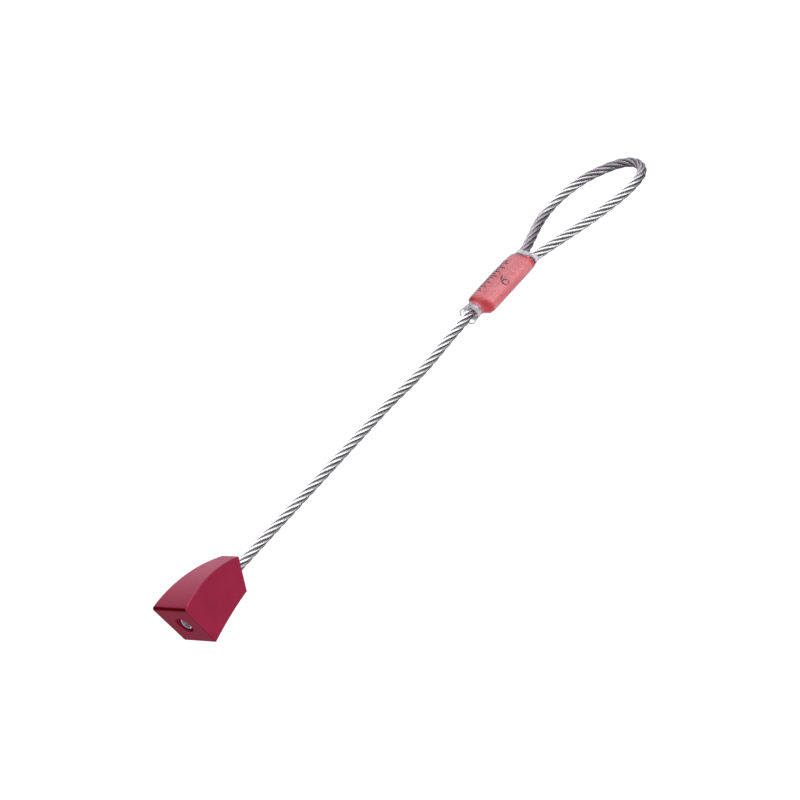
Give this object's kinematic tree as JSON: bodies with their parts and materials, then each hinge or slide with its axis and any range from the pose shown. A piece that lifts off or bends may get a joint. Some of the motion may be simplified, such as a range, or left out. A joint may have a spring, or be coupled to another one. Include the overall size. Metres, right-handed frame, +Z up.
{
  "type": "wired climbing nut",
  "caption": "Tapered alloy wedge threaded on a single wire rope that ends in a swaged, sleeved eye for a carabiner.",
  "frame": {"origin": "on the stem's axis, 205 mm from the centre of the head's wide end, inside the eye where a carabiner hangs", "axes": "+X runs along the stem from the head to the eye; +Z is up, with the nut lying on its hollow side and its curved side up; +Y points away from the front flank"},
  "size_m": [0.2339, 0.0231, 0.0164],
  "materials": {
    "anodised_alloy": "satin crimson anodising",
    "stop_steel": "satin",
    "wire_rope": "bright drawn wire",
    "swage_alloy": "pressed, dull",
    "colour_film": "translucent heat-shrunk tube",
    "clear_film": "clear heat-shrunk tube"
  },
  "bodies": {
    "eye": {"eye_cable": "wire_rope"},
    "ferrule": {"upper_stem_cable": "wire_rope", "tail_cable": "wire_rope", "swage_ferrule": "swage_alloy", "colour_sleeve": "colour_film", "clear_sleeve": "clear_film"},
    "stem": {"lower_stem_cable": "wire_rope", "stop_ferrule": "stop_steel"},
    "washer": {"thrust_washer": "stop_steel"},
    "head": {"nut_head": "anodised_alloy"}
  },
  "joints": [
    {"name": "eye_bend", "type": "hinge", "parent": "eye", "child": "ferrule", "pos_m": [-0.017, 0, 0], "axis": [0, 0.9397, 0.342], "range_deg": [-30, 30], "stiffness_Nm_per_rad": 1},
    {"name": "stem_bend", "type": "hinge", "parent": "ferrule", "child": "stem", "pos_m": [-0.081, 0, 0], "axis": [0, 0, 1], "range_deg": [-45, 45], "stiffness_Nm_per_rad": 1},
    {"name": "head_slide", "type": "slide", "parent": "stem", "child": "washer", "axis": [1, 0, 0], "range_m": [0, 0.075]},
    {"name": "head_spin", "type": "hinge", "parent": "washer", "child": "head", "pos_m": [-0.205, 0, 0], "axis": [1, 0, 0], "continuous": true}
  ]
}
